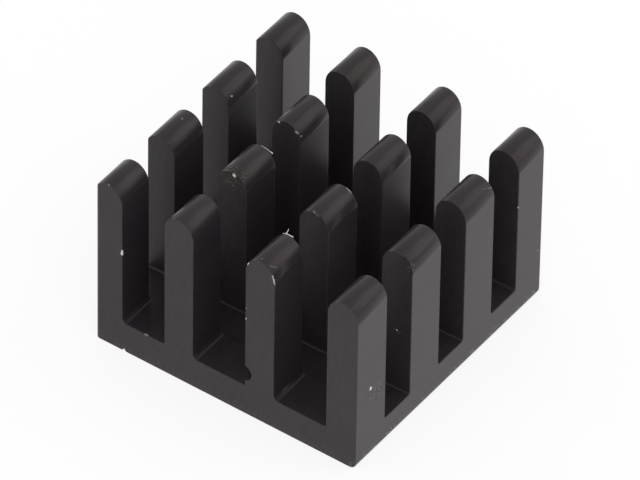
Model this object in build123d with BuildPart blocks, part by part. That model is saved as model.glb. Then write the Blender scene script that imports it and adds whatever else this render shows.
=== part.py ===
from build123d import *
from math import radians, tan
import os

os.makedirs("parts", exist_ok=True)

# A pin-fin heat sink for a small chip, in millimetres. X runs across the fins, Y runs
# along them and Z is up. The origin is the middle of the flat underside, which is
# glued to the chip. The front is the end of the fins at the lowest Y.
block_width = 15.0
block_depth = 14.8
block_height = 10.1
base_thickness = 1.8

# The fins come from one extruded comb. The groove beside the left fin is narrower than
# the rest, and the two wide grooves share the width that is left. The fins leave the
# groove floor through a radius on their right and a tight one on their left.
inner_fin = 1.66
right_fin = 1.72
narrow_groove = 2.42
tip_rise = 0.98
root_radius = 0.28
tight_root_radius = 0.06
lower_corner_radius = 0.38

# The left side is trimmed flat, from the base to the tips. The trim takes a little off
# the left fin at its foot and leans in, so it takes more at the tip.
left_trim = 0.08
left_lean = 0.2
corner_reach = 0.24

# Three saw cuts across the comb turn each fin into four pins. They are a degree out
# of square and a little lower than the groove floors, the front one more than the
# other two.
cut_width = 1.97
cut_pitch = 4.25
cut_offset = 0.02
cut_skew = 0.89
cut_floor = 1.73
front_cut_floor = 1.57
cut_corner_radius = 0.08

# Two knocks on the front face, as outlines of points across and up. The bite is
# measured from the foot of the third fin's left side, and the vee from the lower
# left corner of the block. The vee runs in on a slant.
bite_outline = [(-0.1, 0.31), (0.24, 0.51), (0.37, 0.76), (0.27, 0.98), (-0.1, 1.32)]
bite_length = 0.55
vee_position = 1.67
vee_outline = [(-0.11, -0.06), (0, 0.19), (0.11, -0.06)]
vee_length = 0.35
vee_slant = 35

# The middle and the thickness of each fin, from left to right, before the trim.
comb_width = block_width + left_trim
comb_left = block_width / 2 - comb_width
wide_groove = (comb_width - narrow_groove - 3 * inner_fin - right_fin) / 2
second_fin_left = comb_left + inner_fin + narrow_groove
third_fin_left = second_fin_left + inner_fin + wide_groove
fins = [
    (comb_left + inner_fin / 2, inner_fin),
    (second_fin_left + inner_fin / 2, inner_fin),
    (third_fin_left + inner_fin / 2, inner_fin),
    ((block_width - right_fin) / 2, right_fin),
]
shoulder_height = block_height - tip_rise
corner_x = -block_width / 2
corner_y = -block_depth / 2

with BuildPart() as heat_sink:
    # The comb's profile: a base strip with fins on it that end in half ellipses. The
    # corners on the groove floors are right sides and left sides of fins in turn.
    with BuildSketch(Plane.XZ):
        with Locations((comb_left, 0)):
            Rectangle(comb_width, base_thickness, align=Align.MIN)
        for middle, thickness in fins:
            left = middle - thickness / 2
            right = middle + thickness / 2
            with BuildLine():
                EllipticalCenterArc((middle, shoulder_height), thickness / 2, tip_rise, arc_size=180)
                Polyline((left, shoulder_height), (left, 0), (right, 0), (right, shoulder_height))
            make_face()
        for first, radius in ((0, root_radius), (1, tight_root_radius)):
            on_floor = vertices().filter_by_position(Axis.Y, base_thickness, base_thickness)
            fillet(on_floor.sort_by(Axis.X)[first::2], radius)
        fillet(vertices().group_by(Axis.Y)[0].sort_by(Axis.X)[-1], lower_corner_radius)
        trim_top = corner_x + block_height * tan(radians(left_lean))
        side_line = [(corner_x, 0), (trim_top, block_height)]
        beyond = [(corner_x - 1, block_height), (corner_x - 1, 0)]
        Polygon(*side_line, *beyond, align=None, mode=Mode.SUBTRACT)
    extrude(amount=block_depth / 2, both=True)

    # The upright edge at the front left is worn round, a trace flatter than a quarter
    # circle. The cutter follows the leaning side and reaches past both faces.
    with BuildSketch():
        with BuildLine():
            round_start = (corner_x, corner_y + corner_reach)
            round_end = (corner_x + corner_reach, corner_y)
            RadiusArc(round_start, round_end, -1.1 * corner_reach)
            Polyline(round_end, (corner_x + corner_reach, corner_y - 1), (corner_x - 1, corner_y - 1))
            Polyline((corner_x - 1, corner_y - 1), (corner_x - 1, corner_y + corner_reach), round_start)
        make_face()
    up_the_side = Vector(0, 0, 1).rotate(Axis.Y, left_lean)
    extrude(amount=block_height + 1, dir=up_the_side, mode=Mode.SUBTRACT)

    # The saw cuts, from front to back.
    along_cut = Vector(1, 0, 0).rotate(Axis.Z, cut_skew)
    across_cut = Vector(0, 1, 0).rotate(Axis.Z, cut_skew)
    cuts = [
        (cut_offset - cut_pitch, front_cut_floor),
        (cut_offset, cut_floor),
        (cut_offset + cut_pitch, cut_floor),
    ]
    for cut_y, floor_height in cuts:
        with BuildSketch(Plane((0, cut_y, floor_height), x_dir=across_cut, z_dir=along_cut)):
            Rectangle(cut_width, block_height, align=(Align.CENTER, Align.MIN))
            fillet(vertices().group_by(Axis.Y)[0], cut_corner_radius)
        extrude(amount=block_width, both=True, mode=Mode.SUBTRACT)

    # The bite out of the third fin's front left edge, just above the groove floor.
    with BuildSketch(Plane.XZ.offset(block_depth / 2)):
        with Locations((third_fin_left, base_thickness)):
            Polygon(*bite_outline, align=None)
    extrude(amount=-bite_length, mode=Mode.SUBTRACT)

    # The vee in the lower front edge.
    with BuildSketch(Plane.XZ.offset(block_depth / 2)):
        with Locations((vee_position - block_width / 2, 0)):
            Polygon(*vee_outline, align=None)
    inwards = Vector(0, 1, 0).rotate(Axis.Z, vee_slant)
    extrude(amount=vee_length, dir=inwards, mode=Mode.SUBTRACT)

heat_sink.part.label = "heat_sink"
export_step(heat_sink.part, "parts/heat_sink.step")
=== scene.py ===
# %% [markdown]
# # A chip heat sink in black anodised aluminium
#
# The object is a small block of aluminium, 15 mm square and 10 mm high. A comb of four
# fins is pressed through a die in one long bar. A saw then cuts the bar to length and
# cuts the fins crosswise, so that sixteen pins stand on one base. The last step is a
# black anodised coat, which is satin, hard and a little translucent.
#
# This notebook first loads the solid model as a fixed frame. Everything here is placed
# by that frame, in metres.

# %% Load the frame
import bmesh
import bpy
import math
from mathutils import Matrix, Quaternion, Vector


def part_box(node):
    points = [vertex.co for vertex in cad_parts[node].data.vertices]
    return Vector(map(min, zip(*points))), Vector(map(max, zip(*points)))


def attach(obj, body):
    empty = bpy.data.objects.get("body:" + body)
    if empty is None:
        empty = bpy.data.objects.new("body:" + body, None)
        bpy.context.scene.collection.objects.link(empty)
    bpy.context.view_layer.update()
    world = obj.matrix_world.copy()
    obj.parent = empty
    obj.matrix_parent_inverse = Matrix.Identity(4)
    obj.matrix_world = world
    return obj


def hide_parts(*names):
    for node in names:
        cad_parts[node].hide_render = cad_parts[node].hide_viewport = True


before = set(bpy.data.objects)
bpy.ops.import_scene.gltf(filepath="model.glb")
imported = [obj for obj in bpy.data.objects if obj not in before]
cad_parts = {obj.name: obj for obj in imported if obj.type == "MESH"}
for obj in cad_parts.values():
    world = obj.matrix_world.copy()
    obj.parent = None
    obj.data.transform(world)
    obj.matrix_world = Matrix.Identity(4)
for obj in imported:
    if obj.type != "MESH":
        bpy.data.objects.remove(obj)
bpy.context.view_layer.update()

# %% [markdown]
# ## Camera
#
# The picture is taken from the front right, from well above, with a long lens: lines
# that are parallel on the block stay almost parallel in the picture. The camera is
# therefore far off for such a small thing, about thirty times its width. It is placed
# by two angles and a distance from a point inside the block, and rolled by a degree.

# %% Place the camera
mm = 0.001
camera_aim = Vector((-0.076, 0.174, 4.65)) * mm
camera_turn = math.radians(35.35)
camera_tilt = math.radians(43.08)
camera_roll = math.radians(0.89)
camera_distance = 484.2 * mm
lens_length = 584.0

towards_camera = Vector((
    math.sin(camera_turn) * math.cos(camera_tilt),
    -math.cos(camera_turn) * math.cos(camera_tilt),
    math.sin(camera_tilt),
))
bpy.ops.object.select_all(action="DESELECT")
bpy.ops.object.camera_add(location=camera_aim + towards_camera * camera_distance)
camera = bpy.context.object
camera.name = "camera"
camera.rotation_mode = "QUATERNION"
looking = (-towards_camera).to_track_quat("-Z", "Y")
camera.rotation_quaternion = looking @ Quaternion((0, 0, 1), camera_roll)
camera.data.lens = lens_length
camera.data.clip_start = 10 * mm
camera.data.clip_end = 20
bpy.context.scene.camera = camera
print("camera at", [round(c, 4) for c in camera.location])

# %% [markdown]
# ## Sizes
#
# The outer sizes are read from the frame. The rest are the block's own sizes, in
# millimetres. Blender's modelling tools have tolerances of about a tenth of a
# millimetre when a unit is a metre, which is far too coarse for a block of this size.
# The block is therefore modelled with one unit for each millimetre, and brought down
# to metres when it is finished.

# %% Name the sizes
low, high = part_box("heat_sink")
width, depth, height = (high - low) / mm

base_thickness = 1.8
fin_thickness = [1.66, 1.66, 1.66, 1.72]
first_groove = 2.42
left_trim = 0.08
left_lean = math.radians(0.2)
comb_width = width + left_trim
other_groove = (comb_width - sum(fin_thickness) - first_groove) / 2
tip_rise = 0.98
root_radius = 0.28
tight_root_radius = 0.06
lower_corner_radius = 0.38
worn_corner_radius = 0.24

cut_width = 1.97
cut_pitch = 4.25
cut_offset = 0.02
cut_skew = math.radians(0.89)
cut_floor = 1.73
front_cut_floor = 1.57
cut_corner_radius = 0.08

shoulder = height - tip_rise
fin_left = [width / 2 - comb_width]
for thickness, groove in zip(fin_thickness, [first_groove, other_groove, other_groove]):
    fin_left.append(fin_left[-1] + thickness + groove)
fin_right = [left + thickness for left, thickness in zip(fin_left, fin_thickness)]
print("fins from", [round(x, 3) for x in fin_left], "to", [round(x, 3) for x in fin_right])

# %% [markdown]
# ## Tools for the hand
#
# In a window the modeller would click on faces and edges. A script has to pick them by
# their place. These few helpers open a mesh for editing, pick what passes a test, cut
# straight through the whole mesh, round the picked edges and apply a modifier.

# %% Helpers for picking and cutting
same_place = 0.002
cut_tolerance = 0.0001


def select_only(piece):
    bpy.ops.object.select_all(action="DESELECT")
    piece.select_set(True)
    bpy.context.view_layer.objects.active = piece


def open_mesh(piece):
    select_only(piece)
    bpy.ops.object.mode_set(mode="EDIT")
    bpy.ops.mesh.select_all(action="DESELECT")


def close_mesh():
    bpy.ops.object.mode_set(mode="OBJECT")


def pick(piece, kind, wanted):
    bpy.ops.mesh.select_all(action="DESELECT")
    bpy.ops.mesh.select_mode(type=kind)
    mesh = bmesh.from_edit_mesh(piece.data)
    parts = {"VERT": mesh.verts, "EDGE": mesh.edges, "FACE": mesh.faces}[kind]
    for part in parts:
        if wanted(part):
            part.select_set(True)
    bmesh.update_edit_mesh(piece.data)
    return sum(part.select for part in parts)


def cut_through(point, normal, **what_stays):
    bpy.ops.mesh.select_all(action="SELECT")
    bpy.ops.mesh.bisect(
        plane_co=point, plane_no=normal, threshold=cut_tolerance, **what_stays
    )


def round_edges(radius, steps):
    bpy.ops.mesh.bevel(offset=radius, segments=steps, profile=0.5, affect="EDGES")


def apply_modifier(piece, kind, **settings):
    select_only(piece)
    modifier = piece.modifiers.new(kind.lower(), kind)
    for name, value in settings.items():
        setattr(modifier, name, value)
    bpy.ops.object.modifier_apply(modifier=modifier.name)


def near(a, b):
    return abs(a - b) < same_place


def looks_up(face):
    return face.normal.z > 0.9


print("places count as the same within", same_place, "mm")

# %% [markdown]
# ## The base and the lines of the pins
#
# The base could be drawn as a profile and swept, as the die does it. The pins are
# easier the other way round: a plain slab is scored with the lines of the fins and of
# the saw cuts, and each field between the lines is then pulled up to its own height.
# The slab starts as high as the lowest place on top, the floor of the front saw cut.

# %% A slab scored into fields
bpy.ops.object.select_all(action="DESELECT")
bpy.ops.mesh.primitive_cube_add(
    size=1,
    location=(-left_trim / 2, 0, front_cut_floor / 2),
    scale=(comb_width, depth, front_cut_floor),
)
block = bpy.context.object
block.name = "finned_block"
bpy.ops.object.transform_apply(location=True, rotation=True, scale=True)

open_mesh(block)
for side in fin_right[:-1] + fin_left[1:]:
    cut_through((side, 0, 0), (1, 0, 0))

across_cut = Vector((-math.sin(cut_skew), math.cos(cut_skew), 0))
cut_walls = [
    middle + half
    for middle in (cut_offset - cut_pitch, cut_offset, cut_offset + cut_pitch)
    for half in (-cut_width / 2, cut_width / 2)
]
for wall in cut_walls:
    cut_through((0, wall, 0), across_cut)
close_mesh()
print("fields on the slab:", sum(looks_up(face) for face in block.data.polygons))

# %% [markdown]
# ## Pulling up the fields
#
# Neighbouring fields are pulled up together as far as they share a height, because
# two fields pulled up one by one would leave a hidden wall between them. Everything
# behind the front cut rises to the floor of the other cuts, and then the rows rise to
# the groove floor.

# %% Pull up the rows
front_row, front_cut = 0, 1
pin_rows = (0, 2, 4, 6)
wall_places = [across_cut.dot(Vector((0, wall, 0))) for wall in cut_walls]


def row_of(face):
    """0, 2, 4 and 6 are the rows of pins, and 1, 3 and 5 the saw cuts between them."""
    return sum(across_cut.dot(face.calc_center_median()) > wall for wall in wall_places)


def fin_of(face):
    x = face.calc_center_median().x
    for number, (left, right) in enumerate(zip(fin_left, fin_right)):
        if left < x < right:
            return number
    return None


def pull_up(piece, from_height, to_height, wanted):
    picked = pick(piece, "FACE", lambda face: (
        looks_up(face)
        and near(face.calc_center_median().z, from_height)
        and wanted(face)
    ))
    bpy.ops.mesh.extrude_region_move(
        TRANSFORM_OT_translate={"value": (0, 0, to_height - from_height)}
    )
    return picked


open_mesh(block)
pull_up(block, front_cut_floor, base_thickness, lambda face: row_of(face) == front_row)
pull_up(block, front_cut_floor, cut_floor, lambda face: row_of(face) > front_cut)
pull_up(block, cut_floor, base_thickness, lambda face: row_of(face) in pin_rows)
close_mesh()
print("faces after the rows:", len(block.data.polygons))

# %% [markdown]
# ## Pins with rounded tips
#
# Each pin is pulled up a little past the shoulder. A bevel as wide as half the fin on
# the two long edges makes a half-round tip, and a stretch upwards from the shoulder
# gives the taller, half-elliptical tip of the real fins. The fins are not equally
# thick, so this is done fin by fin. A limited dissolve then joins faces that are flat
# to one another.

# %% Pull up the pins and round their tips
tip_steps = 10
slack = 0.01
seam_tolerance = 0.001
flat_within = math.radians(0.2)


def edge_middle(edge):
    return (edge.verts[0].co + edge.verts[1].co) / 2


def runs_along_fins(edge):
    a, b = (vert.co for vert in edge.verts)
    return abs(a.x - b.x) < slack and abs(a.z - b.z) < slack


open_mesh(block)
for number, thickness in enumerate(fin_thickness):
    half = thickness / 2
    top = shoulder + half
    pins = pull_up(block, base_thickness, top, lambda face: (
        fin_of(face) == number and row_of(face) in pin_rows
    ))
    pick(block, "EDGE", lambda edge: runs_along_fins(edge) and near(edge_middle(edge).z, top))
    round_edges(half, tip_steps)
    pick(block, "VERT", lambda vert: (
        vert.co.z > shoulder - same_place
        and fin_left[number] - slack < vert.co.x < fin_right[number] + slack
    ))
    bpy.ops.mesh.remove_doubles(threshold=seam_tolerance)
    bpy.ops.transform.resize(value=(1, 1, tip_rise / half), center_override=(0, 0, shoulder))
    print("fin", number + 1, "has", pins, "pins")
bpy.ops.mesh.select_all(action="SELECT")
bpy.ops.mesh.dissolve_limited(angle_limit=flat_within)
close_mesh()
print("height now:", round(max(v.co.z for v in block.data.vertices), 3))

# %% [markdown]
# ## Radii at the roots and the lower corner
#
# A die cannot press a sharp inner corner, so each fin grows out of the groove floor
# through a small radius, which on this comb is clear on the right of each fin and very
# tight on its left. The saw leaves a tight one too at the foot of its walls.
# The comb's lower corner on the right is rounded too.

# %% Round the roots and the corners
open_mesh(block)
roots = [(fin_right[:-1], root_radius, 5), (fin_left[1:], tight_root_radius, 2)]
for sides, radius, steps in roots:
    pick(block, "EDGE", lambda edge: (
        runs_along_fins(edge)
        and near(edge_middle(edge).z, base_thickness)
        and any(near(edge_middle(edge).x, side) for side in sides)
    ))
    round_edges(radius, steps)

most_of_width = 0.9 * width
pick(block, "EDGE", lambda edge: (
    any(near(edge.verts[0].co.z, floor) for floor in (cut_floor, front_cut_floor))
    and near(edge.verts[0].co.z, edge.verts[1].co.z)
    and abs(edge.verts[0].co.x - edge.verts[1].co.x) > most_of_width
))
round_edges(cut_corner_radius, 2)

pick(block, "EDGE", lambda edge: (
    runs_along_fins(edge) and near(edge_middle(edge).z, 0) and near(edge_middle(edge).x, width / 2)
))
round_edges(lower_corner_radius, 7)
close_mesh()
print("faces after the radii:", len(block.data.polygons))

# %% [markdown]
# ## The trimmed left side
#
# The right side is as the die left it, with a rounded lower corner and full tips. The
# left side is trimmed flat, which leaves its lower edge sharp and ends the curve of the
# tips in a corner. The trim leans in by a fifth of a degree. One straight cut through
# the whole mesh makes it, and the fill closes the side again. The upright edge at the
# front left is worn round. It meets curves at both ends, so it is planed off with a few
# straight cuts that lean the same way, which is more dependable than a bevel.

# %% Trim the left side and wear its front edge
lean = Quaternion((0, 1, 0), left_lean)
open_mesh(block)
cut_through((-width / 2, 0, 0), lean @ Vector((-1, 0, 0)), clear_outer=True, use_fill=True)

corner_steps = 5
pivot = Vector((worn_corner_radius - width / 2, worn_corner_radius - depth / 2, 0))
for step in range(corner_steps):
    angle = math.radians(180 + 90 * (step + 0.5) / corner_steps)
    outward = Vector((math.cos(angle), math.sin(angle), 0))
    place = pivot + outward * worn_corner_radius
    cut_through(place, lean @ outward, clear_outer=True, use_fill=True)
close_mesh()
print("faces after the trim:", len(block.data.polygons))

# %% [markdown]
# ## Two knocks
#
# The third fin lost a bite from its front left edge, just above the groove floor, and
# the lower front edge has a small vee knocked into it. A flattened ball takes the bite
# out, which leaves the hollow that a chip leaves. A thin wedge cuts the vee. Both are
# modelled over the block and taken out of it with a boolean.

# %% Take out the bite and the vee
front = -depth / 2
bite_place = (fin_left[2], front, base_thickness + 0.79)
bite_reach = (0.37, 0.9, 0.43)
vee_place = (1.67 - width / 2, front, 0.03)
vee_slant = math.radians(35)


def take_out(piece, cutter):
    apply_modifier(piece, "BOOLEAN", operation="DIFFERENCE", solver="EXACT", object=cutter)
    bpy.data.objects.remove(cutter)


bpy.ops.object.select_all(action="DESELECT")
bpy.ops.mesh.primitive_ico_sphere_add(
    subdivisions=3, radius=1, location=bite_place, scale=bite_reach
)
bite = bpy.context.object
bpy.ops.object.transform_apply(location=True, rotation=True, scale=True)
take_out(block, bite)

bpy.ops.object.select_all(action="DESELECT")
bpy.ops.mesh.primitive_cone_add(
    vertices=3, radius1=0.14, radius2=0.1, depth=0.8, end_fill_type="NGON",
    location=vee_place, rotation=(math.radians(90), 0, vee_slant),
)
vee = bpy.context.object
bpy.ops.object.transform_apply(location=True, rotation=True, scale=True)
take_out(block, vee)
print("faces after the knocks:", len(block.data.polygons))

# %% [markdown]
# ## Broken edges
#
# No edge of a real sawn part is perfectly sharp: tumbling and the anodising bath leave
# a tiny round that catches the light. A bevel modifier makes it on every sharp edge at
# once and puts its faces in the second material slot, so that they can wear apart from
# the flat faces. The third slot is for bare metal.

# %% Break the edges
edge_break = 0.05
sharp_from = math.radians(35)
weld_tolerance = 0.0005
rubbed_slot, bare_slot = 1, 2

open_mesh(block)
bpy.ops.mesh.select_all(action="SELECT")
bpy.ops.mesh.remove_doubles(threshold=weld_tolerance)
bpy.ops.mesh.normals_make_consistent(inside=False)
close_mesh()
satin_coat = bpy.data.materials.new("satin_black_coat")
rubbed_edge = bpy.data.materials.new("rubbed_edge")
bare_metal = bpy.data.materials.new("bare_aluminium")
for finish in (satin_coat, rubbed_edge, bare_metal):
    finish.use_nodes = True
    block.data.materials.append(finish)
apply_modifier(
    block, "BEVEL", width=edge_break, segments=2, limit_method="ANGLE",
    angle_limit=sharp_from, use_clamp_overlap=False, material=rubbed_slot,
)
print("faces with broken edges:", len(block.data.polygons))

# %% [markdown]
# ## Two burrs
#
# The saw tore up two slivers of metal where it left the pins: one behind the tip of the
# third front pin, with a whisker that stands off it, and a thin one behind the second
# pin of the next row. Each starts as a tiny cube. One face of it is pulled from point
# to point along the edge and made wider or narrower on the way. The burrs then become
# part of the block, and wear the third material, the bare metal.

# %% Draw the burrs along the edges
def draw_burr(path, widths):
    bpy.ops.object.select_all(action="DESELECT")
    bpy.ops.mesh.primitive_cube_add(size=widths[0], location=path[0])
    burr = bpy.context.object
    bpy.ops.object.transform_apply(location=True, rotation=True, scale=True)
    for finish in block.data.materials:
        burr.data.materials.append(finish)
    open_mesh(burr)
    first_step = (Vector(path[1]) - Vector(path[0])).normalized()
    steepest = max(face.normal.dot(first_step) for face in burr.data.polygons)
    pick(burr, "FACE", lambda face: face.normal.dot(first_step) > steepest - 0.001)
    for number in range(1, len(path)):
        step = Vector(path[number]) - Vector(path[number - 1])
        bpy.ops.mesh.extrude_region_move(TRANSFORM_OT_translate={"value": step})
        change = widths[number] / widths[number - 1]
        bpy.ops.transform.resize(value=(change, change, change), center_override=path[number])
    close_mesh()
    for face in burr.data.polygons:
        face.material_index = bare_slot
    return burr


front_sliver = [
    (1.60, -5.13, 9.98), (1.75, -5.13, 10.05), (1.95, -5.13, 10.065), (2.15, -5.12, 10.04),
]
whisker = [(1.77, -5.13, 10.05), (1.75, -4.98, 10.07), (1.69, -4.82, 10.07)]
thin_sliver = [
    (-2.67, -0.99, 10.06), (-2.42, -0.97, 10.02), (-2.22, -0.95, 9.92), (-2.08, -0.93, 9.85),
]
burrs = [
    draw_burr(front_sliver, [0.02, 0.05, 0.04, 0.04]),
    draw_burr(whisker, [0.04, 0.03, 0.02]),
    draw_burr(thin_sliver, [0.015, 0.02, 0.02, 0.05]),
]
select_only(block)
for burr in burrs:
    burr.select_set(True)
bpy.ops.object.join()
print("faces of bare metal:", sum(f.material_index == bare_slot for f in block.data.polygons))

# %% [markdown]
# ## Down to metres
#
# The finished mesh is shrunk to its real size about the origin, which is the middle of
# the underside. The object itself stays unscaled, so that the textures can be measured
# in the object's own coordinates. Curved faces are then shaded smooth, and weighted
# normals keep the large faces flat beside their broken edges.

# %% Finish the block
smooth_below = math.radians(30)
open_mesh(block)
bpy.ops.mesh.select_all(action="SELECT")
bpy.ops.transform.resize(value=(mm, mm, mm), center_override=(0, 0, 0))
close_mesh()
bpy.ops.object.shade_smooth_by_angle(angle=smooth_below)
apply_modifier(block, "WEIGHTED_NORMAL", keep_sharp=True, weight=60)
print("finished block:", len(block.data.polygons), "faces")

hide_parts("heat_sink")
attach(block, "root")

# %% [markdown]
# ## A white table
#
# The block stands on a white table that fills the whole picture. A plane of white
# diffuse paper could do it alone, but then it would need more light than the black
# block can bear without turning grey. The paper is therefore mixed with a plain white
# glow that only the camera and mirror-like rays see. The part of it that is still paper
# keeps the soft shadow at the foot of the block, and the light that the table throws
# back on the block stays that of real paper.
#
# The picture is shown with the Standard view transform, so that a colour comes out as
# it is written in its material.

# %% Lay the white table
table_size = 4
paper_white = (0.8, 0.8, 0.8, 1)
glow_strength = 1.1
glow_share = 0.75

bpy.context.scene.view_settings.view_transform = "Standard"

bpy.ops.object.select_all(action="DESELECT")
bpy.ops.mesh.primitive_plane_add(size=table_size)
table = bpy.context.object
table.name = "table"

paper = bpy.data.materials.new("white_paper")
paper.use_nodes = True
nodes, links = paper.node_tree.nodes, paper.node_tree.links
nodes.clear()
output = nodes.new("ShaderNodeOutputMaterial")
lit_paper = nodes.new("ShaderNodeBsdfDiffuse")
lit_paper.inputs["Color"].default_value = paper_white
plain_white = nodes.new("ShaderNodeEmission")
plain_white.inputs["Strength"].default_value = glow_strength
path = nodes.new("ShaderNodeLightPath")
seen = nodes.new("ShaderNodeMath")
seen.operation = "MAXIMUM"
share = nodes.new("ShaderNodeMath")
share.operation = "MULTIPLY"
share.inputs[1].default_value = glow_share
blend = nodes.new("ShaderNodeMixShader")
links.new(path.outputs["Is Camera Ray"], seen.inputs[0])
links.new(path.outputs["Is Glossy Ray"], seen.inputs[1])
links.new(seen.outputs["Value"], share.inputs[0])
links.new(share.outputs["Value"], blend.inputs["Fac"])
links.new(lit_paper.outputs["BSDF"], blend.inputs[1])
links.new(plain_white.outputs["Emission"], blend.inputs[2])
links.new(blend.outputs["Shader"], output.inputs["Surface"])
table.data.materials.append(paper)
print("table:", round(table.dimensions.x, 2), "m wide")

# %% [markdown]
# ## Soft light
#
# The picture shows no hard shadow and no sharp highlight, so the light is that of a
# white tent: an even white world fills in from everywhere. Three large weak soft boxes
# shape it a little. One stands at the front right. One at the back right reaches the
# sides of the rear pins past their neighbours, and a low one at the left draws the pale
# strip on the left of each tip. Together they light a white surface just about white.

# %% Set up the lamps
tent_strength = 0.7
box_distance = 0.45

world = bpy.data.worlds.new("studio")
bpy.context.scene.world = world
world.use_nodes = True
tent = world.node_tree.nodes["Background"]
tent.inputs["Color"].default_value = (1, 1, 1, 1)
tent.inputs["Strength"].default_value = tent_strength


def soft_box(name, turn, lift, size, power):
    turn, lift = math.radians(turn), math.radians(lift)
    towards_box = Vector((
        math.sin(turn) * math.cos(lift),
        -math.cos(turn) * math.cos(lift),
        math.sin(lift),
    ))
    bpy.ops.object.select_all(action="DESELECT")
    bpy.ops.object.light_add(type="AREA", location=towards_box * box_distance)
    lamp = bpy.context.object
    lamp.name = name
    lamp.data.shape = "RECTANGLE"
    lamp.data.size, lamp.data.size_y = size
    lamp.data.energy = power
    lamp.rotation_mode = "QUATERNION"
    lamp.rotation_quaternion = (-towards_box).to_track_quat("-Z", "Y")
    print(name, "stands at", [round(c, 2) for c in lamp.location])


soft_box("front_right_box", turn=45, lift=35, size=(0.35, 0.35), power=0.42)
soft_box("back_right_box", turn=135, lift=35, size=(0.35, 0.35), power=0.30)
soft_box("left_box", turn=270, lift=12, size=(0.35, 0.25), power=0.35)

# %% [markdown]
# ## Tools for the materials
#
# All textures are worked out from the place on the block, in millimetres. These helpers
# add a node, fill its sockets with numbers or links, and start a node group with named
# inputs and outputs. A group is an effect that is built once and then put into every
# material that shows it.

# %% Helpers for nodes
def put(tree, kind, **settings):
    made = tree.nodes.new(kind)
    for name, value in settings.items():
        setattr(made, name, value)
    return made


def plug(tree, value, socket):
    """Link an output to the socket, or write a plain value on it."""
    if isinstance(value, bpy.types.NodeSocket):
        tree.links.new(value, socket)
    else:
        socket.default_value = value


def calc(tree, operation, *values):
    made = put(tree, "ShaderNodeMath", operation=operation)
    for value, socket in zip(values, made.inputs):
        plug(tree, value, socket)
    return made.outputs["Value"]


def vector_calc(tree, operation, *values):
    made = put(tree, "ShaderNodeVectorMath", operation=operation)
    for value, socket in zip(values, made.inputs):
        plug(tree, value, socket)
    one_number = operation in ("DOT_PRODUCT", "LENGTH", "DISTANCE")
    return made.outputs["Value" if one_number else "Vector"]


def stretch(tree, value, low, high, to_low=0.0, to_high=1.0):
    """A smooth step from to_low at low to to_high at high."""
    made = put(tree, "ShaderNodeMapRange", interpolation_type="SMOOTHSTEP")
    for number, socket in zip((value, low, high, to_low, to_high), made.inputs):
        plug(tree, number, socket)
    return made.outputs["Result"]


def noise(tree, position, per_mm, detail, output="Fac"):
    made = put(tree, "ShaderNodeTexNoise")
    plug(tree, position, made.inputs["Vector"])
    plug(tree, per_mm, made.inputs["Scale"])
    plug(tree, detail, made.inputs["Detail"])
    return made.outputs[output]


def mix_colour(tree, share, first, second):
    made = put(tree, "ShaderNodeMix", data_type="RGBA")
    plug(tree, share, made.inputs["Factor"])
    plug(tree, first, made.inputs["A"])
    plug(tree, second, made.inputs["B"])
    return made.outputs["Result"]


def start_group(name, inputs, outputs):
    tree = bpy.data.node_groups.new(name, "ShaderNodeTree")
    for label, kind in inputs.items():
        tree.interface.new_socket(label, in_out="INPUT", socket_type=kind)
    for label in outputs:
        tree.interface.new_socket(label, in_out="OUTPUT", socket_type="NodeSocketFloat")
    return tree, put(tree, "NodeGroupInput").outputs, put(tree, "NodeGroupOutput").inputs


def use_group(tree, group, **values):
    made = put(tree, "ShaderNodeGroup", node_tree=group)
    for name, value in values.items():
        plug(tree, value, made.inputs[name])
    return made.outputs


print("helpers ready")

# %% [markdown]
# ## Satin grain
#
# Anodising eats the metal a little before it coats it, which leaves a fine even grain.
# The dye takes slightly better in one place than in another, so the black drifts over
# a few millimetres. Both are plain noises. The group gives the slow one as Tone and the
# fine one as Grain.

# %% Group: satin grain
satin_grain, given, made = start_group(
    "satin_grain", {"Position": "NodeSocketVector"}, ["Tone", "Grain"]
)
slow_noise = noise(satin_grain, given["Position"], per_mm=0.45, detail=2.0)
fine_noise = noise(satin_grain, given["Position"], per_mm=8.0, detail=3.0)
plug(satin_grain, stretch(satin_grain, slow_noise, low=0.3, high=0.7), made["Tone"])
plug(satin_grain, fine_noise, made["Grain"])
print("satin_grain:", len(satin_grain.nodes), "nodes")

# %% [markdown]
# ## Die lines and saw lines
#
# The die draws faint straight lines along the fins. They come from a noise that is
# squeezed across the fins and drawn out along them. The saw leaves faint arcs on
# everything that it cut, which are the faces that look to the front or the back. They
# come from a noise that changes fast with the distance from the saw's axle and only
# slowly along an arc. Facing is the surface's normal, and tells the two kinds of face
# apart. The group gives this as Sawn, because a sawn face is also rougher than a drawn
# one.

# %% Group: die lines and saw lines
die_squeeze = (9, 0.15, 9)
saw_axle = (-38, 0, 14)
saw_plane = (1, 0, 1)
slow_change = (0.15, 0.15, 0.15)

tool_lines, given, made = start_group(
    "tool_lines", {"Position": "NodeSocketVector", "Facing": "NodeSocketVector"}, ["Lines", "Sawn"]
)
apart = put(tool_lines, "ShaderNodeSeparateXYZ")
plug(tool_lines, given["Facing"], apart.inputs["Vector"])
to_front_or_back = calc(tool_lines, "ABSOLUTE", apart.outputs["Y"])
is_sawn = stretch(tool_lines, to_front_or_back, low=0.5, high=0.9)

drawn_out = vector_calc(tool_lines, "MULTIPLY", given["Position"], die_squeeze)
die_noise = noise(tool_lines, drawn_out, per_mm=1.0, detail=3.0)

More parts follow.
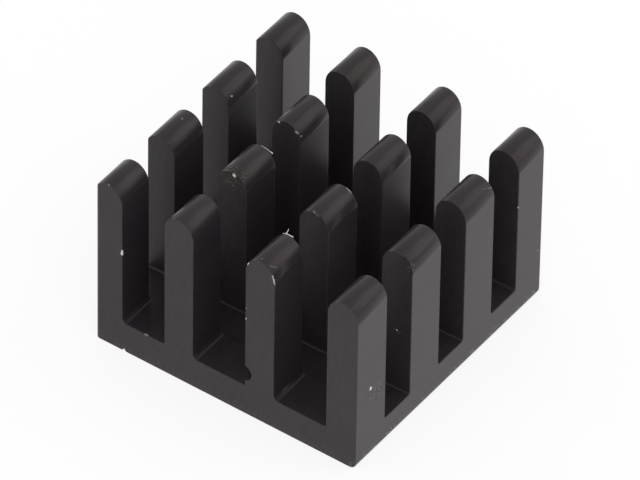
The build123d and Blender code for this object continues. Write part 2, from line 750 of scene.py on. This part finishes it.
from_axle = vector_calc(tool_lines, "SUBTRACT", given["Position"], saw_axle)
in_saw_plane = vector_calc(tool_lines, "MULTIPLY", from_axle, saw_plane)
saw_radius = vector_calc(tool_lines, "LENGTH", in_saw_plane)
arcs = put(tool_lines, "ShaderNodeCombineXYZ")
plug(tool_lines, saw_radius, arcs.inputs["X"])
slow_place = vector_calc(tool_lines, "MULTIPLY", given["Position"], slow_change)
arc_place = vector_calc(tool_lines, "ADD", arcs.outputs["Vector"], slow_place)
saw_noise = noise(tool_lines, arc_place, per_mm=7.0, detail=3.0)

chosen = put(tool_lines, "ShaderNodeMix", data_type="FLOAT")
plug(tool_lines, is_sawn, chosen.inputs["Factor"])
plug(tool_lines, die_noise, chosen.inputs["A"])
plug(tool_lines, saw_noise, chosen.inputs["B"])
plug(tool_lines, chosen.outputs["Result"], made["Lines"])
plug(tool_lines, is_sawn, made["Sawn"])
print("tool_lines:", len(tool_lines.nodes), "nodes")

# %% [markdown]
# ## Chips
#
# Where the coat has chipped, bare aluminium shows as a bright spot or a short bright
# line on an edge. A chip is all that lies within a short reach of a line from one point
# to another, and it fades out over the outer part of that reach. The strength says how
# much of the coat is gone: a whole chip has 1, and a faint scratch has a tenth or two.
# The same group also paints faint highlight lines on an edge in the colour of bare metal.

# %% Group: a chip along a short line
never_zero = 0.0001
full_part = 0.6

chip_and_glint, given, made = start_group("chip_and_glint", {
    "Position": "NodeSocketVector",
    "From": "NodeSocketVector",
    "To": "NodeSocketVector",
    "Reach": "NodeSocketFloat",
    "Strength": "NodeSocketFloat",
}, ["Mask"])
line = vector_calc(chip_and_glint, "SUBTRACT", given["To"], given["From"])
from_start = vector_calc(chip_and_glint, "SUBTRACT", given["Position"], given["From"])
along = vector_calc(chip_and_glint, "DOT_PRODUCT", from_start, line)
line_squared = calc(chip_and_glint, "ADD", vector_calc(chip_and_glint, "DOT_PRODUCT", line, line), never_zero)
share = calc(chip_and_glint, "DIVIDE", along, line_squared)
share = calc(chip_and_glint, "MINIMUM", calc(chip_and_glint, "MAXIMUM", share, 0.0), 1.0)
whole_share = put(chip_and_glint, "ShaderNodeCombineXYZ")
for socket in whole_share.inputs:
    plug(chip_and_glint, share, socket)
reached = vector_calc(chip_and_glint, "MULTIPLY", line, whole_share.outputs["Vector"])
off_line = vector_calc(chip_and_glint, "LENGTH", vector_calc(chip_and_glint, "SUBTRACT", from_start, reached))
inner = calc(chip_and_glint, "MULTIPLY", given["Reach"], full_part)
mask = stretch(chip_and_glint, off_line, inner, given["Reach"], to_low=given["Strength"], to_high=0.0)
plug(chip_and_glint, mask, made["Mask"])
print("chip:", len(chip_and_glint.nodes), "nodes")

# %% [markdown]
# ## Pitted patches
#
# Here and there the coat is only bruised: a patch of tiny light and dark specks. The
# group gives the light ones and the dark ones as two masks that fade out over the
# outer half of the patch.

# %% Group: a pitted patch
pitted, given, made = start_group("pitted", {
    "Position": "NodeSocketVector",
    "Middle": "NodeSocketVector",
    "Reach": "NodeSocketFloat",
}, ["Light", "Dark"])
off_middle = vector_calc(pitted, "DISTANCE", given["Position"], given["Middle"])
half_reach = calc(pitted, "MULTIPLY", given["Reach"], 0.5)
inside = stretch(pitted, off_middle, half_reach, given["Reach"], to_low=1.0, to_high=0.0)
specks = noise(pitted, given["Position"], per_mm=11.0, detail=1.0)
light = stretch(pitted, specks, low=0.58, high=0.64)
dark = stretch(pitted, specks, low=0.36, high=0.44, to_low=1.0, to_high=0.0)
plug(pitted, calc(pitted, "MULTIPLY", light, inside), made["Light"])
plug(pitted, calc(pitted, "MULTIPLY", dark, inside), made["Dark"])
print("pitted:", len(pitted.nodes), "nodes")

# %% [markdown]
# ## The lower rim
#
# A pale mottled band runs along the lowest half millimetre of the sides and a little
# above it. It is a noise that is cut off at a level that rises with the height over the
# ground. It is plain on the right side and faint on the others.

# %% Group: a pale mottled band along the lower rim
level_at_ground, level_rise = 0.42, 0.20
faint, plain = 0.15, 0.8
right_side = width / 2

lower_rim, given, made = start_group("lower_rim", {
    "Position": "NodeSocketVector",
    "Height": "NodeSocketFloat",
}, ["Mask"])
apart = put(lower_rim, "ShaderNodeSeparateXYZ")
plug(lower_rim, given["Position"], apart.inputs["Vector"])
up = calc(lower_rim, "DIVIDE", apart.outputs["Z"], given["Height"])
level = calc(lower_rim, "MULTIPLY_ADD", up, level_rise, level_at_ground)
band_noise = noise(lower_rim, given["Position"], per_mm=7.0, detail=3.0)
over_level = calc(lower_rim, "SUBTRACT", band_noise, level)
band_mottle = stretch(lower_rim, over_level, low=0.0, high=0.08)
near_rim = stretch(lower_rim, up, low=0.6, high=1.0, to_low=1.0, to_high=0.0)
on_right = stretch(lower_rim, apart.outputs["X"], right_side - 0.5, right_side - 0.2, faint, plain)
band_share = calc(lower_rim, "MULTIPLY", near_rim, on_right)
plug(lower_rim, calc(lower_rim, "MULTIPLY", band_mottle, band_share), made["Mask"])
print("lower_rim:", len(lower_rim.nodes), "nodes")

# %% [markdown]
# ## Where the coat is hurt
#
# All marks are listed by their place on the block, in millimetres, as the picture shows
# them. A chip or a scratch has two ends, a reach and a strength; two faint lines among
# them are painted highlights on an edge. A nick is the same, but dark: it is a small
# hollow, and its near-black colour is painted shade. A patch has a middle and a reach.

# %% List the marks
left_wall = fin_right[0]
chips_and_glints = [
    ((left_wall, front, 6.33), (left_wall, front, 6.15), 0.10, 1.0),
    ((-4.58, front, 1.80), (-4.48, front, 1.79), 0.07, 0.25),
    ((1.14, front, 6.10), (1.14, front, 6.06), 0.065, 0.9),
    ((1.18, front, 6.75), (1.18, front, 6.74), 0.04, 0.4),
    ((1.23, front, 9.56), (1.27, front, 9.64), 0.065, 0.9),
    ((2.67, front, 9.64), (2.80, front, 9.12), 0.05, 0.6),
    ((1.84, front, 10.02), (1.91, -7.11, 10.10), 0.035, 0.12),
    ((2.40, -7.23, 9.96), (2.60, -6.97, 9.75), 0.035, 0.10),
    ((-2.54, -3.29, 9.97), (-2.53, -3.29, 9.95), 0.11, 1.0),
    ((-3.11, 0.95, 9.91), (-3.09, 0.95, 9.89), 0.07, 0.8),
    ((-2.12, 0.98, 9.80), (-1.93, 1.13, 9.48), 0.05, 0.45),
    ((1.91, -3.19, 10.10), (2.21, -3.21, 9.97), 0.045, 0.18),
    ((2.19, -0.93, 10.07), (2.43, -0.93, 9.94), 0.07, 0.7),
    # These two faint lines along the rear arc of the front right pin are painted highlights of its
    # edge, not chips.
    ((6.15, -5.12, 9.93), (6.60, -5.11, 10.10), 0.04, 0.16),
    ((6.86, -5.11, 10.07), (7.25, -5.10, 9.80), 0.04, 0.16),
    ((7.19, 2.93, 9.86), (7.32, 3.40, 9.69), 0.04, 0.12),
    ((7.50, -6.31, 4.41), (7.50, -6.29, 4.36), 0.10, 0.9),
    ((7.50, 5.38, 7.02), (7.50, 5.38, 7.00), 0.06, 0.4),
    ((7.50, 7.17, 2.98), (7.50, 7.17, 2.96), 0.06, 0.3),
    ((6.70, -3.14, 5.24), (6.71, -3.14, 5.22), 0.055, 0.9),
    ((-6.07, 1.30, 9.62), (-6.07, 1.32, 9.62), 0.05, 0.6),
    ((-6.73, -7.37, 10.09), (-6.71, -7.37, 10.09), 0.05, 0.2),
    ((-6.69, -1.73, 10.10), (-6.67, -1.73, 10.10), 0.05, 0.2),
]
# Nicks are small hollows; their dark colour is painted shade.
shaded_nicks = [
    ((7.05, -3.13, 9.98), (7.12, -3.13, 9.93), 0.10, 0.95),
    ((7.24, -3.13, 9.83), (7.36, -3.13, 9.60), 0.09, 0.95),
    ((7.42, -3.13, 9.43), (7.46, -3.13, 9.21), 0.09, 0.9),
    ((-2.95, -3.29, 9.92), (-2.66, -3.29, 9.99), 0.05, 0.7),
    ((-2.36, -3.29, 9.93), (-2.25, -3.29, 9.85), 0.06, 0.8),
]
patches = [
    ((7.50, -5.87, 3.88), 0.62),
    ((6.70, -3.14, 5.23), 0.30),
    ((-2.60, -3.29, 9.62), 0.80),
    ((7.40, -3.13, 9.50), 0.35),
]
print(len(chips_and_glints), "chips,", len(shaded_nicks), "nicks and", len(patches), "patches")

# %% [markdown]
# ## All marks in one group
#
# One group holds all the marks, so the coat and the rubbed edges show the same ones,
# and a mark on an edge reaches over both. The place is first shaken with a fine noise,
# which makes the outlines of chips and nicks ragged.

# %% Group: all marks on the block
middle_of_noise = (0.5, 0.5, 0.5)
shake_width = (0.12, 0.12, 0.12)

marks, given, made = start_group(
    "marks", {"Position": "NodeSocketVector"}, ["Bare", "Light", "Dark"]
)
shake = noise(marks, given["Position"], per_mm=11.0, detail=1.0, output="Color")
shake = vector_calc(marks, "SUBTRACT", shake, middle_of_noise)
shake = vector_calc(marks, "MULTIPLY", shake, shake_width)
shaken = vector_calc(marks, "ADD", given["Position"], shake)


def largest(tree, values):
    top = values[0]
    for value in values[1:]:
        top = calc(tree, "MAXIMUM", top, value)
    return top


def line_mark_masks(listed):
    line_marks = [
        use_group(marks, chip_and_glint, Position=shaken, From=start, To=end, Reach=reach, Strength=strength)
        for start, end, reach, strength in listed
    ]
    return [group["Mask"] for group in line_marks]


spots = [
    use_group(marks, pitted, Position=given["Position"], Middle=middle, Reach=reach)
    for middle, reach in patches
]
light_marks = [spot["Light"] for spot in spots]
# The nicks add painted shade to Dark.
dark_marks = [spot["Dark"] for spot in spots] + line_mark_masks(shaded_nicks)
# Bare holds the chips and the two painted highlight lines.
plug(marks, largest(marks, line_mark_masks(chips_and_glints)), made["Bare"])
plug(marks, largest(marks, light_marks), made["Light"])
plug(marks, largest(marks, dark_marks), made["Dark"])
print("marks:", len(marks.nodes), "nodes")

# %% [markdown]
# ## The satin black coat
#
# The coat is a nearly black dye with a clear hard skin. Its colour drifts between a warm
# black and a slightly violet one, and the lines of the die and the saw tint it a little.
# The roughness drifts with the colour and is clearly higher on sawn faces. Grain and
# lines also disturb the normal. Chips mix in the colour of bare metal, and so do two
# faint lines that are painted highlights on an edge. The pale band along the foot and
# light specks mix in a grey. Nicks mix in a deep black that is painted shade, and dark
# specks the same black. The rubbed edges are the same coat with the colour worn thinner
# in places, so one function makes both.

# %% Values of the coat
warm_black = (0.0245, 0.0207, 0.0220, 1)
violet_black = (0.0230, 0.0200, 0.0245, 1)
# Colour of bare metal for the chips, also used for two painted highlight lines.
bare_and_glint_colour = (0.85, 0.84, 0.82, 1)
worn_colour = (0.070, 0.064, 0.062, 1)
# A grey for the pale band along the foot and for the light specks.
pale_band_and_speck_colour = (0.125, 0.112, 0.104, 1)
# Painted shade for the nicks, also the colour of the dark specks.
shade_and_pit_colour = (0.004, 0.004, 0.004, 1)
warm_sheen = (1.0, 0.85, 0.83, 1)
skin_reflection = 0.32
bare_metallic = 0.35

rim_height = 0.8
line_tint = 0.14
dark_share = 0.8
drifting_roughness = (0.275, 0.295)
grain_roughness, sawn_roughness, bare_roughness = 0.01, 0.18, -0.08
grain_relief, line_relief, speck_relief, hollow_relief = 0.0012, 0.0015, 0.01, -0.02
print("a drawn face has a roughness of", drifting_roughness, "and a sawn one", sawn_roughness, "more")

# %% Function for a coated surface
def mapped(tree):
    """The place on the block in millimetres, and the normal of its surface."""
    place = put(tree, "ShaderNodeTexCoord")
    in_mm = put(tree, "ShaderNodeMapping")
    in_mm.inputs["Scale"].default_value = (1000, 1000, 1000)
    plug(tree, place.outputs["Object"], in_mm.inputs["Vector"])
    return in_mm.outputs["Vector"], place.outputs["Normal"]


def add_up(tree, total, parts):
    """The total, plus every part times its weight."""
    for part, weight in parts:
        total = calc(tree, "MULTIPLY_ADD", part, weight, total)
    return total


def coat(material, worn_share):
    tree = material.node_tree
    shader = tree.nodes["Principled BSDF"]
    shader.inputs["Specular IOR Level"].default_value = skin_reflection
    shader.inputs["Specular Tint"].default_value = warm_sheen

    position, facing = mapped(tree)
    grain = use_group(tree, satin_grain, Position=position)
    lines = use_group(tree, tool_lines, Position=position, Facing=facing)
    marks_and_painted_light = use_group(tree, marks, Position=position)
    rim = use_group(tree, lower_rim, Position=position, Height=rim_height)

    tint = stretch(tree, lines["Lines"], low=0.3, high=0.7, to_high=line_tint)
    rubbed = stretch(tree, grain["Grain"], low=0.42, high=0.62)
    rubbed = calc(tree, "MULTIPLY", rubbed, worn_share)
    pale_band_and_specks = largest(tree, [rim["Mask"], marks_and_painted_light["Light"]])
    nick_shade_and_pits = calc(tree, "MULTIPLY", marks_and_painted_light["Dark"], dark_share)
    colour = mix_colour(tree, grain["Tone"], warm_black, violet_black)
    colour = mix_colour(tree, tint, colour, worn_colour)
    colour = mix_colour(tree, rubbed, colour, worn_colour)
    # The pale band along the foot and the light specks mix in a grey.
    colour = mix_colour(tree, pale_band_and_specks, colour, pale_band_and_speck_colour)
    # Nicks mix in a painted shade of near black; dark specks use the same colour.
    colour = mix_colour(tree, nick_shade_and_pits, colour, shade_and_pit_colour)
    # Chips and the two painted highlight lines mix in the colour of bare metal.
    colour = mix_colour(tree, marks_and_painted_light["Bare"], colour, bare_and_glint_colour)
    plug(tree, colour, shader.inputs["Base Color"])
    plug(tree, calc(tree, "MULTIPLY", marks_and_painted_light["Bare"], bare_metallic), shader.inputs["Metallic"])

    roughness = stretch(tree, grain["Tone"], 0.0, 1.0, *drifting_roughness)
    roughness = add_up(tree, roughness, [
        (grain["Grain"], grain_roughness),
        (lines["Sawn"], sawn_roughness),
        (marks_and_painted_light["Bare"], bare_roughness),
    ])
    plug(tree, roughness, shader.inputs["Roughness"])

    relief = add_up(tree, 0.0, [
        (grain["Grain"], grain_relief),
        (lines["Lines"], line_relief),
        (marks_and_painted_light["Light"], speck_relief),
        (marks_and_painted_light["Dark"], hollow_relief),
        (marks_and_painted_light["Bare"], hollow_relief),
    ])
    bump = put(tree, "ShaderNodeBump")
    bump.inputs["Distance"].default_value = mm
    plug(tree, relief, bump.inputs["Height"])
    plug(tree, bump.outputs["Normal"], shader.inputs["Normal"])
    print(material.name, "has", len(tree.nodes), "nodes")


coat(satin_coat, worn_share=0.0)
coat(rubbed_edge, worn_share=0.3)

# %% [markdown]
# ## Bare aluminium
#
# The burrs are torn metal: bright, neutral and not very smooth. The grain group varies
# their colour and roughness.

# %% Material for the burrs
dull_metal = (0.7, 0.69, 0.67, 1)
bright_metal = (0.92, 0.91, 0.89, 1)

tree = bare_metal.node_tree
shader = tree.nodes["Principled BSDF"]
shader.inputs["Metallic"].default_value = bare_metallic
grain = use_group(tree, satin_grain, Position=mapped(tree)[0])
shine = stretch(tree, grain["Grain"], low=0.3, high=0.7)
roughness = stretch(tree, grain["Grain"], low=0.3, high=0.7, to_low=0.5, to_high=0.35)
plug(tree, mix_colour(tree, shine, dull_metal, bright_metal), shader.inputs["Base Color"])
plug(tree, roughness, shader.inputs["Roughness"])
print(bare_metal.name, "has", len(tree.nodes), "nodes")
